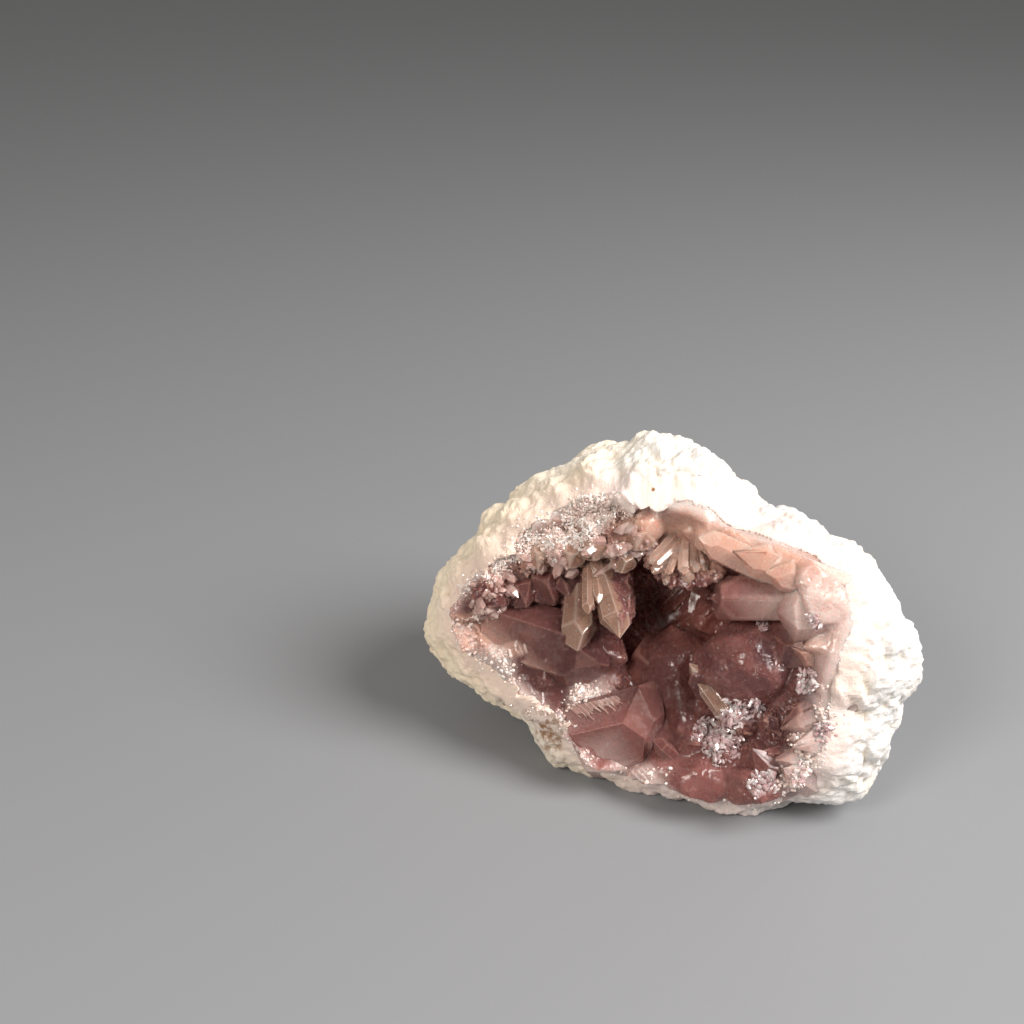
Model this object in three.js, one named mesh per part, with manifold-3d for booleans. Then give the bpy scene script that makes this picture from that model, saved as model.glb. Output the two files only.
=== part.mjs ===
// Half a geode of pink amethyst. A knobbly white rind is broken open on one side, and its hollow is
// lined with one crust of pink quartz crystals that have grown together.
//
// Millimetres, +Z up. The broken mouth faces -Y, turned a little to -X and leaning back.
// The stone is shaped in its mouth's own directions: u to the right along the mouth, v up along it
// and w out of it, from a point in the middle of the mouth. It is then turned upright, its underside
// is cut flat where it rests, and its box is centred over the origin.

import * as THREE from "three";
import { ImprovedNoise } from "three/addons/math/ImprovedNoise.js";
import { mergeVertices } from "three/addons/utils/BufferGeometryUtils.js";
import Module from "manifold-3d";

const wasm = await Module();
wasm.setup();

// ---- Driving dimensions ----

const degrees = THREE.MathUtils.degToRad;
const mouthTurn = degrees(20); // to the left of straight ahead
const mouthTilt = degrees(20); // above the horizon
const baseDrop = 31; // from the middle of the mouth down to the surface it rests on

// Radii of the stone's widest outline and of the inner edge of its rind, every 15 degrees, counter
// clockwise from +u about the mouth's centre line.
const centreU = -4;
const centreV = -1;
const stoneRadii = [
  42, 37, 30, 27, 23, 25, 28, 29, 31, 31, 34, 37, 41, 43, 38, 30, 32, 32, 31, 32, 37, 38, 43, 40,
];
const rindRadii = [
  30, 31, 28, 23, 20, 21, 20, 20, 22, 24, 26, 28, 33, 34, 28, 24, 23, 25, 26, 26, 30, 33, 34, 31,
];
const widestBack = 12; // how far behind the mouth the stone is widest
const stoneFront = 14; // from the widest outline forward
const stoneBack = 32; // and backward
const stoneBoxiness = 2.3; // 2 is an ellipsoid, more is squarer
const swellHeight = 2.6; // broad humps on the stone, and how broad they are
const swellSize = 19;
const knobHeight = 4.8; // knobs with creases between them
const knobSize = 8.5;
const pressedDepth = 2.5; // how far above the resting surface the underside starts to flatten
const pressedPast = 0.7; // how far it would reach through that surface, which cuts it flat
const pitDepth = 2; // pits between the flat spots
const pitSize = 7;

const hollowStart = 6; // how far behind the mouth the hollow starts to close
const hollowBack = 22; // from there to the back of the hollow
const hollowFlare = 0.25; // how fast the hollow widens in front of the mouth
const hollowReachOut = 22; // how far in front of its start crystals may stand
const gap = 0.5; // between the rind and the crust

const caveShare = 0.56; // the deep pocket's radius, of the rind's inner edge
const caveTop = -9; // where the pocket opens out towards the rim
const caveBack = 12; // from there to the back of the pocket
const caveOpening = 9; // how far in front of that its wall meets the rind

// ---- Small helpers ----

// A number from 0 to 1 that looks random but is the same in every run.
const chance = (item, quality) => {
  const x = Math.sin(item * 12.9898 + quality * 78.233) * 43758.5453;
  return x - Math.floor(x);
};
const between = (low, high, share) => low + (high - low) * share;

const noiseField = new ImprovedNoise();
const noiseAt = (p, size, shift = 0) =>
  noiseField.noise(p.x / size + shift, p.y / size + shift, p.z / size + shift);

// Catmull-Rom through radii that are spread evenly round a full turn.
function radiusAt(radii, angle) {
  const n = radii.length;
  const t = (((angle / (2 * Math.PI)) % 1) + 1) * n;
  const i = Math.floor(t);
  const f = t - i;
  const [a, b, c, d] = [-1, 0, 1, 2].map((step) => radii[(i + step + n) % n]);
  return b + (f / 2) * (c - a + f * (2 * a - 5 * b + 4 * c - d + f * (3 * (b - c) + d - a)));
}

// A closed solid from any three.js geometry.
function solidOf(geometry) {
  const bare = new THREE.BufferGeometry();
  bare.setAttribute("position", geometry.getAttribute("position"));
  bare.setIndex(geometry.index);
  const merged = mergeVertices(bare, 1e-4);
  return new wasm.Manifold(
    new wasm.Mesh({
      numProp: 3,
      vertProperties: new Float32Array(merged.attributes.position.array),
      triVerts: new Uint32Array(merged.index.array),
    }),
  );
}

function geometryOf(solid) {
  const mesh = solid.getMesh();
  const geometry = new THREE.BufferGeometry();
  geometry.setAttribute("position", new THREE.BufferAttribute(mesh.vertProperties, 3));
  geometry.setIndex(new THREE.BufferAttribute(mesh.triVerts, 1));
  return geometry;
}

// A round body: each direction of a fine ball goes out as far as reach(direction) says. Settle, if
// given, moves its points afterwards.
function ball(detail, centre, reach, settle) {
  const geometry = new THREE.IcosahedronGeometry(1, detail);
  const place = geometry.getAttribute("position");
  const p = new THREE.Vector3();
  for (let i = 0; i < place.count; i++) {
    p.fromBufferAttribute(place, i).normalize();
    p.multiplyScalar(reach(p)).add(centre);
    if (settle) settle(p);
    place.setXYZ(i, p.x, p.y, p.z);
  }
  return solidOf(geometry);
}

// How far a squarish egg of this radius and depth reaches in one direction.
function eggReach(way, radius, depth, boxiness) {
  const side = Math.hypot(way.x, way.y) / radius;
  const along = Math.abs(way.z) / depth;
  return (side ** boxiness + along ** boxiness) ** (-1 / boxiness);
}

const turnOf = (way) => Math.atan2(way.y, way.x);

// ---- The mouth's directions, upright ----

const across = new THREE.Vector3(Math.cos(mouthTurn), -Math.sin(mouthTurn), 0);
const out = new THREE.Vector3(
  -Math.sin(mouthTurn) * Math.cos(mouthTilt),
  -Math.cos(mouthTurn) * Math.cos(mouthTilt),
  Math.sin(mouthTilt),
);
const upright = new THREE.Matrix4().makeBasis(across, out.clone().cross(across), out);

// ---- The stone's outside ----

const stoneCentre = new THREE.Vector3(centreU, centreV, -widestBack);

function stoneReach(way) {
  const depth = way.z > 0 ? stoneFront : stoneBack;
  const smooth = eggReach(way, radiusAt(stoneRadii, turnOf(way)), depth, stoneBoxiness);
  const p = way.clone().multiplyScalar(smooth);
  const swell = swellHeight * noiseAt(p, swellSize);
  const knobs = knobHeight * (Math.abs(noiseAt(p, knobSize, 7.3)) - 0.125);
  return smooth + swell + knobs;
}

// The underside is flattened with shallow pits: what would lie below the resting plane is pressed up
// to about it.
const down = new THREE.Vector3(0, 0, -1).transformDirection(upright.clone().transpose());

function settleStone(p) {
  const below = p.dot(down) - (baseDrop - pressedDepth);
  if (below < 0) return;
  const limit = pressedDepth + pressedPast;
  const pit = pitDepth * Math.abs(noiseAt(p, pitSize, 4.4)) * Math.min(1, below / 2);
  p.addScaledVector(down, limit * Math.tanh(below / limit) - pit - below);
}

const stone = ball(12, stoneCentre, stoneReach, settleStone);

// ---- The hollow in the rind ----

const hollowCentre = new THREE.Vector3(centreU, centreV, -hollowStart);

function hollowReach(way, shrink) {
  const ripple = 1.6 * noiseAt(way, 0.27, 9.1);
  const radius = radiusAt(rindRadii, turnOf(way)) + ripple - shrink;
  if (way.z > 0) {
    const side = Math.hypot(way.x, way.y);
    return Math.min(radius / Math.max(side - hollowFlare * way.z, 1e-3), hollowReachOut / way.z);
  }
  const smooth = eggReach(way, radius, hollowBack - shrink, 2.5);
  return smooth + 1.2 * noiseAt(way.clone().multiplyScalar(smooth), 11, 3.1);
}

const hollow = ball(5, hollowCentre, (way) => hollowReach(way, 0));
const hollowInside = ball(5, hollowCentre, (way) => hollowReach(way, gap));

// ---- The crust's lining ----

const caveCentre = new THREE.Vector3(centreU, centreV + 1, caveTop);

function caveReach(way) {
  const ripple = 1 + 0.15 * noiseAt(way, 0.3, 2.2);
  const radius = caveShare * radiusAt(rindRadii, turnOf(way)) * ripple;
  if (way.z > 0) {
    const slope = (radius / caveShare - radius) / caveOpening;
    return radius / Math.max(Math.hypot(way.x, way.y) - slope * way.z, 0.12);
  }
  const smooth = eggReach(way, radius, caveBack, 2.2);
  return smooth + 2 * noiseAt(way.clone().multiplyScalar(smooth), 9, 5.7);
}

const cave = ball(4, caveCentre, caveReach);
const broken = ball(7, stoneCentre, stoneReach); // ends the lining flush with the rind
const lining = hollowInside.intersect(broken).subtract(cave);

// ---- One crystal ----

const quartzSlope = 52; // degrees from a crystal's length to the normals of its point's faces
const steeper = 24; // degrees that the second round of faces is steeper
const secondSpare = 0.42; // how far from the point they would meet the axis, of the radius
const alongZ = new THREE.Vector3(0, 0, 1);

// A six-sided column from its foot to its tip, cut to a point by six slanted faces. Every other face
// is cut less deep, as on real quartz. A low slope gives a blunt crystal. An etched one has its edges
// cut off by a second round of faces, half way between the first and steeper.
function crystal({ foot, tip, radius, flat = 1, slope = quartzSlope, roll, round = 1 }, item) {
  const turned = roll ?? between(0, 60, chance(item, 20));
  const start = new THREE.Vector3(...foot);
  const length = new THREE.Vector3(...tip).sub(start);
  const tall = length.length();
  const column = new THREE.CylinderGeometry(radius * 0.94, radius, tall, 6);
  column.rotateX(Math.PI / 2).translate(0, 0, tall / 2);
  let solid = solidOf(column);
  for (let face = 0; face < 6 * round; face++) {
    const second = face >= 6;
    const turn = degrees(60 * face + (second ? 30 : 0));
    const lean = degrees(slope + (second ? steeper : 0) + between(-5, 5, chance(item, 10 + face)));
    const spare = radius * (second ? secondSpare : (face % 2) * between(0.05, 0.3, chance(item, face)));
    const outward = new THREE.Vector3().setFromSphericalCoords(1, lean, turn);
    // trimByPlane keeps the side that its direction points to
    solid = solid.trimByPlane(
      [-outward.z, -outward.x, -outward.y],
      -(tall * Math.cos(lean) + spare * Math.sin(lean)),
    );
  }
  const stand = new THREE.Quaternion().setFromUnitVectors(alongZ, length.normalize());
  stand.multiply(new THREE.Quaternion().setFromAxisAngle(alongZ, degrees(turned)));
  const place = new THREE.Matrix4().compose(start, stand, new THREE.Vector3(1, flat, 1));
  return solid.transform(place.toArray());
}

// ---- The crystals that stand out ----

// Foot and tip are (u, v, w). Flat squeezes a crystal's section, slope is its point's and roll turns it
// about its length.
const namedCrystals = [
  // two pale points and a blade that hang from the upper left
  { foot: [-19, 1.5, -10], tip: [-15.5, -6.6, -0.5], radius: 3.4, flat: 0.75, slope: 50, roll: 10 },
  { foot: [-14, 9, -10], tip: [-8.8, -3, 0.5], radius: 3.2, flat: 0.9, slope: 52, roll: 20 },
  { foot: [-18, 6.5, -8], tip: [-13.6, -0.3, 0.3], radius: 1.4, flat: 0.6 },
  // a fan of narrow rods under the roof
  { foot: [-4, 14.5, -10], tip: [-6, 7.4, -2.2], radius: 2, flat: 0.8 },
  { foot: [-3, 14.5, -10], tip: [-4, 6.2, -1.2], radius: 2.1, flat: 0.8 },
  { foot: [-2, 14.5, -10], tip: [-1.6, 5.5, -0.6], radius: 2.2, flat: 0.8 },
  { foot: [-0.5, 14.5, -10], tip: [1, 5.7, -0.7], radius: 2.1, flat: 0.8 },
  { foot: [0.5, 14, -10], tip: [3.4, 6.4, -1.3], radius: 2, flat: 0.8 },
  { foot: [1.5, 14, -10], tip: [5.6, 7.6, -2.2], radius: 1.9, flat: 0.8 },
  // chunky crystals at the upper left
  { foot: [-29, 10, -9], tip: [-26, 4.5, -1.8], radius: 3.8, flat: 0.9, slope: 44 },
  { foot: [-23.5, 13, -9], tip: [-21, 6, -1.4], radius: 4.2, flat: 0.9, slope: 46 },
  { foot: [-18, 16, -9], tip: [-15.5, 9, -0.8], radius: 4, flat: 0.9, slope: 46 },
  { foot: [-12.5, 16.5, -9], tip: [-10.4, 8, -1.4], radius: 3.8, flat: 0.9 },
  { foot: [-9, 19, -9], tip: [-7.6, 12, -0.8], radius: 3.8, flat: 0.9, slope: 46 },
  // dark ridged crystals at the left
  { foot: [-37, 2, -10], tip: [-31.5, -3, -3.4], radius: 3.2 },
  { foot: [-33, 4, -11], tip: [-27.5, -3, -4.2], radius: 3.8 },
  { foot: [-28, 6.5, -12], tip: [-21.5, -1.6, -5], radius: 4.6 },
  // the smooth mass at the left: a big round one and a long one that leans out of its side
  { foot: [-23, -10.5, -19], tip: [-21, -10, -0.8], radius: 12, flat: 0.66, slope: 18, roll: 0, round: 2 },
  { foot: [-30, -12, -13], tip: [-8.6, -8.6, -7], radius: 7.2, flat: 0.9, slope: 44, roll: 0, round: 2 },
  // the stub with a ridged top at the lower left
  { foot: [-15, -28, -12], tip: [-8.4, -19, 1.2], radius: 9.2, flat: 0.86, slope: 36, roll: 30, round: 2 },
  { foot: [-22, -22, -10], tip: [-9, -14.5, -2.2], radius: 5.4, flat: 0.8, slope: 52, roll: 0 },
  // the dark column at the back
  { foot: [5, -25, -10], tip: [-3.4, -2.8, -13.6], radius: 7.4, flat: 0.85, slope: 36, roll: 30, round: 2 },
  // the big blunt crystal
  { foot: [10.6, -7, -18], tip: [11.8, -4.6, -0.4], radius: 9.8, flat: 0.8, slope: 26, roll: 30, round: 2 },
  // the block above it
  { foot: [22, 9, -11], tip: [4, 4.6, -3], radius: 4.1, flat: 0.85, slope: 64, roll: 0 },
  // the pale mass and the wedges under it, at the right
  { foot: [26, 9, -10], tip: [18.8, 5.8, 0.8], radius: 6.4, flat: 0.85, slope: 36, roll: 30, round: 2 },
  { foot: [29, 1, -10], tip: [20, -0.4, -1.4], radius: 5, flat: 0.6, slope: 48 },
  { foot: [28, -5, -10], tip: [19.4, -6, -2], radius: 4.8, flat: 0.6, slope: 48 },
  // broad layers under the upper rind
  { foot: [-5, 20, -12], tip: [-4.6, 13.4, -5.5], radius: 6.4, flat: 0.7, slope: 40 },
  { foot: [5, 20.5, -10], tip: [7, 11, -1.6], radius: 7.2, flat: 0.5, slope: 34, roll: 0 },
  { foot: [14, 18, -10], tip: [12.8, 10.5, -0.6], radius: 7.2, flat: 0.5, slope: 34, roll: 0 },
  { foot: [21, 15, -9], tip: [18.5, 10, 0], radius: 4.8, flat: 0.6, slope: 34 },
  // the sugary ridge and the petals at the lower right
  { foot: [8, -15.5, -10], tip: [3.2, -7.5, -2.6], radius: 2.4, flat: 0.5 },
  { foot: [13, -17, -10], tip: [10, -13.6, -2.2], radius: 3.8, flat: 0.9 },
  { foot: [19, -16, -10], tip: [15.6, -13.2, -2.4], radius: 4, flat: 0.8 },
  { foot: [28, -11, -10], tip: [18.6, -10.4, -1.8], radius: 4.6, flat: 0.5 },
  { foot: [29, -16, -9], tip: [19.5, -15, -1.2], radius: 5, flat: 0.55 },
  { foot: [24, -22, -9], tip: [16.6, -17.6, -0.8], radius: 4.4, flat: 0.6 },
  // the glittering group below
  { foot: [4.5, -23, -9], tip: [4.8, -18.4, -2], radius: 3.2 },
  { foot: [10, -23, -9], tip: [9.6, -18.4, -1], radius: 3.6 },
  // rounded masses along the lower edge
  { foot: [-1.5, -31, -9], tip: [-0.8, -24, -0.8], radius: 6.2, flat: 0.8, slope: 34, roll: 0, round: 2 },
  { foot: [8, -31, -9], tip: [6.6, -22.6, 1], radius: 6.8, flat: 0.8, slope: 30, roll: 30, round: 2 },
  { foot: [17, -29, -9], tip: [15.2, -22, 1], radius: 6.4, flat: 0.8, slope: 30, roll: 0, round: 2 },
  { foot: [25, -25, -8], tip: [22, -20.4, 0.4], radius: 5.4, flat: 0.8, slope: 36 },
  // peach crystals at the far left
  { foot: [-41, -3, -8], tip: [-34, -5.5, -0.5], radius: 4, flat: 0.8, slope: 45 },
  { foot: [-41, -10.5, -7], tip: [-34.5, -10.4, -0.5], radius: 4.8, flat: 0.8, slope: 34 },
  { foot: [-36, -18, -7], tip: [-29.5, -16, -0.8], radius: 5.4, flat: 0.8, slope: 34, roll: 0 },
  { foot: [-28, -23, -7], tip: [-21.5, -19.4, -1], radius: 5.2, flat: 0.8, slope: 36 },
];

// ---- The crystals between them ----

const fillerCount = 18;
const fillerStart = 1000; // keeps their chances apart from the named crystals'
const fillerRoot = 3; // how deep they are rooted in the lining
const goldenTurn = degrees(137.5); // spreads them evenly

// How far behind the mouth the lining lies at a share of the way from its middle to the rind.
function liningDepth(share) {
  if (share > caveShare) return (-caveTop * (1 - share)) / (1 - caveShare);
  return -caveTop + caveBack * Math.sqrt(1 - (share / caveShare) ** 2);
}

function filler(i) {
  const item = fillerStart + i;
  const turn = i * goldenTurn;
  const share = between(0.1, 0.95, Math.sqrt((i + 0.5) / fillerCount));
  const side = share * radiusAt(rindRadii, turn);
  const foot = new THREE.Vector3(
    centreU + side * Math.cos(turn),
    centreV + side * Math.sin(turn),
    -liningDepth(share) - fillerRoot,
  );
  const inward = -0.5 * share;
  const along = new THREE.Vector3(
    between(-0.5, 0.5, chance(item, 1)) + inward * Math.cos(turn),
    between(-0.5, 0.5, chance(item, 2)) + inward * Math.sin(turn),
    0.75,
  ).normalize();
  const radius = between(2.2, 4, chance(item, 4));
  const length = fillerRoot + radius * between(0.5, 1.2, chance(item, 5));
  const tip = foot.clone().addScaledVector(along, length);
  const flat = between(0.7, 1, chance(item, 7));
  const slope = between(38, 56, chance(item, 6));
  return crystal({ foot: foot.toArray(), tip: tip.toArray(), radius, flat, slope }, item);
}

const crystals = [
  ...namedCrystals.map((row, i) => crystal(row, i)),
  ...Array.from({ length: fillerCount }, (_, i) => filler(i)),
];

// ---- Together ----

const groundSize = 200;
const ground = solidOf(
  new THREE.BoxGeometry(groundSize, groundSize, groundSize).translate(0, 0, -baseDrop - groundSize / 2),
);
const standing = (solid) => solid.transform(upright.toArray()).subtract(ground);

// The one biggest body, without crumbs and with the sealed pockets between its crystals filled.
const biggest = (solid) =>
  solid.decompose().reduce((best, body) => (body.volume() > best.volume() ? body : best));

const rind = biggest(standing(stone.subtract(hollow)));
const crust = biggest(
  standing(wasm.Manifold.union([lining, ...crystals]).intersect(hollowInside)),
);

const geode = new THREE.Group();

function addPiece(name, solid, look) {
  const mesh = new THREE.Mesh(geometryOf(solid), new THREE.MeshStandardMaterial(look));
  mesh.name = name;
  geode.add(mesh);
}

addPiece("rind", rind, { color: 0xece6dc, roughness: 0.85, metalness: 0 });
addPiece("crystal_crust", crust, { color: 0xc98a90, roughness: 0.25, metalness: 0 });

const box = new THREE.Box3().setFromObject(geode);
const middle = box.getCenter(new THREE.Vector3());
geode.position.set(-middle.x, -middle.y, baseDrop);

export default geode;
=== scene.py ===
# %% [markdown]
# # Half a geode of pink amethyst
#
# A nodule of white, chalky stone has been broken open. Its hollow is lined with pink quartz crystals
# that have grown together into one crust. The solids of the rind and of the crust are already there
# at their real size. Here they get their surfaces: knobs and dirt on the rind, clear and milky depth
# in the quartz, and the fine sugar of small crystals that is too small to be solids of their own.

# %% Load the solids
import bpy
import bisect
import bmesh
import math
import random
from mathutils import Matrix, Quaternion, Vector, noise
from mathutils.bvhtree import BVHTree


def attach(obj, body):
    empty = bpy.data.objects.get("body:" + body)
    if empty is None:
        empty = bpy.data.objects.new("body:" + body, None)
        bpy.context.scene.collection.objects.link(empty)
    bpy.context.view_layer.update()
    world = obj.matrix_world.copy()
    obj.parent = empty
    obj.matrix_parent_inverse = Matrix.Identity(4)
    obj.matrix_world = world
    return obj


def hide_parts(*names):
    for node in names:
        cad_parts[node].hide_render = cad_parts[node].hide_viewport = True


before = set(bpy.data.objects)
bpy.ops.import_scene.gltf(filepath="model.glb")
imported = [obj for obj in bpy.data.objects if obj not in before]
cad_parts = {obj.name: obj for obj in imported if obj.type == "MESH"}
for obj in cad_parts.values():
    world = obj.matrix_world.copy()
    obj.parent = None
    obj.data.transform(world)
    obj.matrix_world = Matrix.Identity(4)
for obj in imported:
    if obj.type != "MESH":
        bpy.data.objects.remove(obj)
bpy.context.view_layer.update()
noise.seed_set(5)  # noise_vector would otherwise start from the clock
MM = 0.001
print("solids:", sorted(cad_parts))

# %% [markdown]
# ## The mouth's own directions
#
# Everything on the broken side is easier to place from the mouth than from the table: u runs to the
# right along the mouth, v up along it, and w out of it. The mouth is turned a little to the left
# and leans back.

# %% Directions of the mouth
MOUTH_TURN = math.radians(20)
MOUTH_TILT = math.radians(20)
MOUTH = Vector((0.14, -15.60, 31.0)) * MM  # middle of the mouth

OUT = Vector((
    -math.sin(MOUTH_TURN) * math.cos(MOUTH_TILT),
    -math.cos(MOUTH_TURN) * math.cos(MOUTH_TILT),
    math.sin(MOUTH_TILT),
))
ACROSS = Vector((math.cos(MOUTH_TURN), -math.sin(MOUTH_TURN), 0))
UP = OUT.cross(ACROSS)
TO_WORLD = Matrix((ACROSS, UP, OUT)).transposed()


def at_mouth(u, v, w):
    """A place given in millimetres from the middle of the mouth."""
    return MOUTH + TO_WORLD @ Vector((u, v, w)) * MM


def from_mouth(point):
    """The other way round: u, v and w in millimetres."""
    return TO_WORLD.transposed() @ (point - MOUTH) / MM


print("the mouth faces", [round(c, 2) for c in OUT])

# %% [markdown]
# ## Camera
#
# The stone is seen from 27 degrees above the table with a normal 50 mm lens, from about 23 cm away.
# The camera isn't rolled, and it looks past the stone, so that the stone sits low and to the right. Its
# place is worked back from where the middle of the mouth should fall in the picture.

# %% Camera
def new_object(name, data):
    """An object for a mesh, a lamp or a camera, put in the scene."""
    thing = bpy.data.objects.new(name, data)
    bpy.context.scene.collection.objects.link(thing)
    return thing


LENS = 50
SENSOR = 36
IMAGE = 1024
VIEW_DOWN = math.radians(27)
VIEW_DISTANCE = 229 * MM
MOUTH_IN_VIEW = (675, 625)  # where the middle of the mouth falls, from the top left

view_way = Vector((0, math.cos(VIEW_DOWN), -math.sin(VIEW_DOWN)))
view_right = Vector((1, 0, 0))
view_up = view_right.cross(view_way)
pixels_ahead = LENS / SENSOR * IMAGE
side = (MOUTH_IN_VIEW[0] - IMAGE / 2) / pixels_ahead * VIEW_DISTANCE
rise = (IMAGE / 2 - MOUTH_IN_VIEW[1]) / pixels_ahead * VIEW_DISTANCE

camera_data = bpy.data.cameras.new("camera")
camera_data.lens = LENS
camera_data.sensor_width = SENSOR
camera_data.clip_start = 0.01
camera = new_object("camera", camera_data)
camera.location = MOUTH - view_way * VIEW_DISTANCE - view_right * side - view_up * rise
camera.rotation_euler = (math.pi / 2 - VIEW_DOWN, 0, 0)
bpy.context.scene.camera = camera
print("camera", [round(c, 3) for c in camera.location])

# %% [markdown]
# ## Table top and light
#
# A plain grey board gives an even backdrop. One large soft lamp stands high on the right, a weaker and
# warmer one fills in from the front left, and a pale sky lights the rest. Quartz shows what is reflected
# in it, so the lamps are big and plain.

# %% Floor
def new_material(name):
    """A material and the shader that it starts with."""
    material = bpy.data.materials.new(name)
    material.use_nodes = True
    return material, material.node_tree.nodes["Principled BSDF"]


def set_inputs(node, **values):
    """Sets a node's inputs by name, with _ for a space."""
    for name, value in values.items():
        node.inputs[name.replace("_", " ")].default_value = value


FLOOR_SIZE = 3.0
BOARD = (0.205, 0.211, 0.222, 1)

floor_mesh = bpy.data.meshes.new("floor")
bm = bmesh.new()
bmesh.ops.create_grid(bm, x_segments=1, y_segments=1, size=FLOOR_SIZE / 2)
bm.to_mesh(floor_mesh)
bm.free()
floor = new_object("floor", floor_mesh)

floor_material, floor_shader = new_material("pale board")
set_inputs(floor_shader, Base_Color=BOARD, Roughness=0.55)
floor_mesh.materials.append(floor_material)
print("floor:", FLOOR_SIZE, "m wide")

# %% Lamps and sky
AIM = Vector((0, 0, 0.03))  # the middle of the stone


def lamp(name, place, size, power, colour):
    """A round soft lamp that shines on the stone. Place and size are in metres."""
    data = bpy.data.lights.new(name, "AREA")
    data.shape = "DISK"
    data.size = size
    data.energy = power
    data.color = colour
    light = new_object(name, data)
    light.location = place
    light.rotation_euler = (AIM - Vector(place)).to_track_quat("-Z", "Y").to_euler()
    print(name, "lamp:", power, "W")


lamp("key", (0.38, -0.17, 0.42), 0.36, 6.5, (1, 0.965, 0.94))
lamp("window", (-0.34, -0.42, 0.40), 0.26, 3.1, (1, 0.94, 0.86))

world = bpy.data.worlds.new("sky")
world.use_nodes = True
set_inputs(world.node_tree.nodes["Background"], Color=(1, 0.97, 0.93, 1), Strength=0.3)
bpy.context.scene.world = world
bpy.context.scene.view_settings.view_transform = "Standard"

# %% [markdown]
# ## Working copies of the solids
#
# A solid comes in as loose triangles. A copy with its corners merged can be remeshed evenly, and an
# even mesh can be pushed in and out for knobs, pits and growth steps. The solid itself is left alone.

# %% Copies and modifiers
SAME_PLACE = 1e-7  # metres; corners closer than this are one


def to_object(bm, name):
    """Makes a bmesh an object of its own."""
    mesh = bpy.data.meshes.new(name)
    bm.to_mesh(mesh)
    bm.free()
    return new_object(name, mesh)


def copy_of(node, name):
    """A merged copy of a solid, as a new object."""
    bm = bmesh.new()
    bm.from_mesh(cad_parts[node].data)
    bmesh.ops.remove_doubles(bm, verts=bm.verts, dist=SAME_PLACE)
    return to_object(bm, name)


def modify(piece, kind, **settings):
    """Uses a modifier, and makes what it shows the piece's own mesh."""
    modifier = piece.modifiers.new(kind, kind)
    for name, value in settings.items():
        setattr(modifier, name, value)
    bpy.context.view_layer.update()
    shown = piece.evaluated_get(bpy.context.evaluated_depsgraph_get())
    mesh = bpy.data.meshes.new_from_object(shown)
    piece.modifiers.clear()
    old = piece.data
    piece.data = mesh
    bpy.data.meshes.remove(old)
    mesh.name = piece.name


def remesh(piece, size):
    """An even mesh of small squares in place of long triangles."""
    modify(piece, "REMESH", mode="VOXEL", voxel_size=size)


def smooth(piece, times, group=""):
    """Softens a piece, or only what a vertex group holds."""
    modify(piece, "SMOOTH", iterations=times, vertex_group=group)


def thin_out(piece, hidden, share):
    """Fewer triangles where nobody sees them, down to a share of all there are."""
    group = piece.vertex_groups.new(name="hidden")
    group.add([index for index, away in enumerate(hidden) if away], 1.0, "REPLACE")
    modify(piece, "DECIMATE", ratio=share, vertex_group="hidden", vertex_group_factor=10.0)
    piece.vertex_groups.clear()


def count_triangles(piece):
    return sum(len(p.vertices) - 2 for p in piece.data.polygons)


# %% [markdown]
# ## Measures on a surface
#
# Where a surface is pale, deep, soft or dirty depends on how far it is from the other piece and on
# where it lies in the mouth. Such values are worked out once for each corner of the mesh. Some steer
# how far the corner is pushed, and the materials read the others as named attributes.

# %% Helpers for measures
def smoothstep(low, high, x):
    """0 up to low and 1 from high on. Low may be the larger one."""
    t = min(1.0, max(0.0, (x - low) / (high - low)))
    return t * t * (3 - 2 * t)


def surface_tree(piece):
    """For finding the nearest place on a piece."""
    mesh = piece.data
    corners = [v.co for v in mesh.vertices]
    return BVHTree.FromPolygons(corners, [p.vertices for p in mesh.polygons])


def distances_to(tree, piece):
    """How far each corner is from another surface, in millimetres."""
    return [tree.find_nearest(v.co)[3] / MM for v in piece.data.vertices]


def keep_values(piece, name, values):
    """Stores one value for each corner, for the materials to read."""
    layer = piece.data.attributes.new(name, "FLOAT", "POINT")
    layer.data.foreach_set("value", values)


def push(piece, amounts):
    """Moves each corner along its normal by so many millimetres."""
    normals = [v.normal.copy() for v in piece.data.vertices]
    for vertex, normal, amount in zip(piece.data.vertices, normals, amounts):
        vertex.co += normal * amount * MM
        vertex.co.z = max(vertex.co.z, 0.0)


def relief(piece, times):
    """How far each corner stands out from a softened copy of the piece, in millimetres."""
    soft_copy = new_object("soft copy", piece.data.copy())
    smooth(soft_copy, times)
    pairs = zip(piece.data.vertices, soft_copy.data.vertices)
    heights = [(own.co - soft.co).dot(own.normal) / MM for own, soft in pairs]
    mesh = soft_copy.data
    bpy.data.objects.remove(soft_copy)
    bpy.data.meshes.remove(mesh)
    return heights


def oval(place, u, v, half_width, half_height):
    """0 in the middle of an oval in the mouth, and 1 at its edge."""
    return math.hypot((place.x - u) / half_width, (place.y - v) / half_height)


def kept_values(piece):
    return [layer.name for layer in piece.data.attributes if layer.data_type == "FLOAT"]


def lump(point, size, shift=0.0):
    """Smooth swells of about that size in millimetres, from -1 to 1."""
    return noise.noise(point / (size * MM) + Vector((shift, shift, shift)))


# %% [markdown]
# ## Even meshes
#
# Both solids are remeshed first, because each one's finish depends on how near the other one is.
# The quartz gets the finer mesh, and fewer triangles on the side that is buried in the rind. Its broad
# crystals are etched round, so they are softened a lot, and the others just enough to take away the
# ragged edges of the remeshing.

# %% Remesh
RIND_GRID = 0.5 * MM
CRUST_GRID = 0.36 * MM
BURIED = 1.0  # millimetres from the rind, within which the crust is out of sight

rind = copy_of("rind", "knobbly_rind")
remesh(rind, RIND_GRID)
smooth(rind, 5)

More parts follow.
